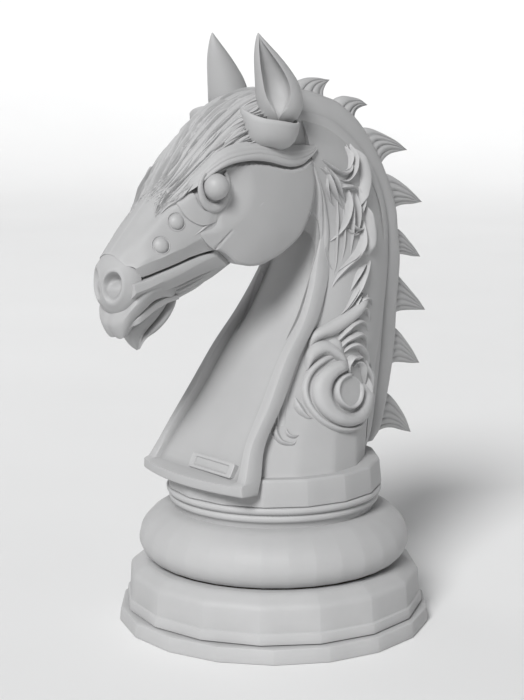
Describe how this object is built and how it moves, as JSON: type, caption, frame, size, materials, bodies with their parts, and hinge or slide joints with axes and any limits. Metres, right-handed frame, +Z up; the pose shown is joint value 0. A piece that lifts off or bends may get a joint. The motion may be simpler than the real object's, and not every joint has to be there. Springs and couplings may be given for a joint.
{
  "type": "giant chess knight",
  "caption": "Hollow horse-head chess knight for lawn play, lifting off a weighted stepped round base with a turning filler cap underneath.",
  "frame": {"origin": "centre of the base's underside", "axes": "+Z up, the horse faces -Y, its left side is +X"},
  "size_m": [0.25, 0.336, 0.4639],
  "materials": {
    "shell_plastic": "matte moulded plastic with a fine grain",
    "hair_plastic": "matte moulded plastic, carved strands",
    "trim_plastic": "matte moulded plastic, smooth",
    "eye_plastic": "smooth satin plastic",
    "cover_plastic": "dark moulded plastic",
    "steel": "zinc plated",
    "rubber": "moulded rubber",
    "sand": "dry sand",
    "dowel": "moulded nylon"
  },
  "bodies": {
    "base": {"foot_rim": "shell_plastic", "plinth_shell": "shell_plastic", "ring_moulding": "shell_plastic", "lower_collar": "shell_plastic", "base_cover": "cover_plastic", "cover_screws": "steel", "section_screws": "steel", "sand_ballast": "sand"},
    "cap": {"filler_cap": "cover_plastic", "filler_seal": "rubber"},
    "knight": {"brow_left": "trim_plastic", "brow_right": "trim_plastic", "cheek_left": "shell_plastic", "cheek_right": "shell_plastic", "chest_plate": "trim_plastic", "chin": "shell_plastic", "crest_strip": "trim_plastic", "ear_cuff_left": "trim_plastic", "ear_cuff_right": "trim_plastic", "ear_left": "shell_plastic", "ear_right": "shell_plastic", "eye_left": "eye_plastic", "eye_right": "eye_plastic", "eye_ring_left": "eye_plastic", "eye_ring_right": "eye_plastic", "face_studs": "eye_plastic", "flame_left": "hair_plastic", "flame_right": "hair_plastic", "forelock": "hair_plastic", "head_shell_left": "shell_plastic", "head_shell_right": "shell_plastic", "lower_jaw": "shell_plastic", "mane_tuft_1": "hair_plastic", "mane_tuft_2": "hair_plastic", "mane_tuft_3": "hair_plastic", "mane_tuft_4": "hair_plastic", "mane_tuft_5": "hair_plastic", "mane_tuft_6": "hair_plastic", "mane_tuft_7": "hair_plastic", "mane_tuft_8": "hair_plastic", "muzzle": "shell_plastic", "name_plate": "trim_plastic", "neck_screws": "steel", "neck_shell_left": "shell_plastic", "neck_shell_right": "shell_plastic", "scroll_left": "hair_plastic", "scroll_right": "hair_plastic", "seam_dowels": "dowel", "strap_left": "trim_plastic", "strap_right": "trim_plastic", "upper_collar": "shell_plastic", "upper_lip": "shell_plastic"}
  },
  "joints": [
    {"name": "knight_lift", "type": "slide", "parent": "base", "child": "knight", "axis": [0, 0, 1], "range_m": [0, 0.06]},
    {"name": "cap_turn", "type": "hinge", "parent": "base", "child": "cap", "pos_m": [0, 0, 0.003], "axis": [0, 0, 1], "range_deg": [0, 90]}
  ]
}
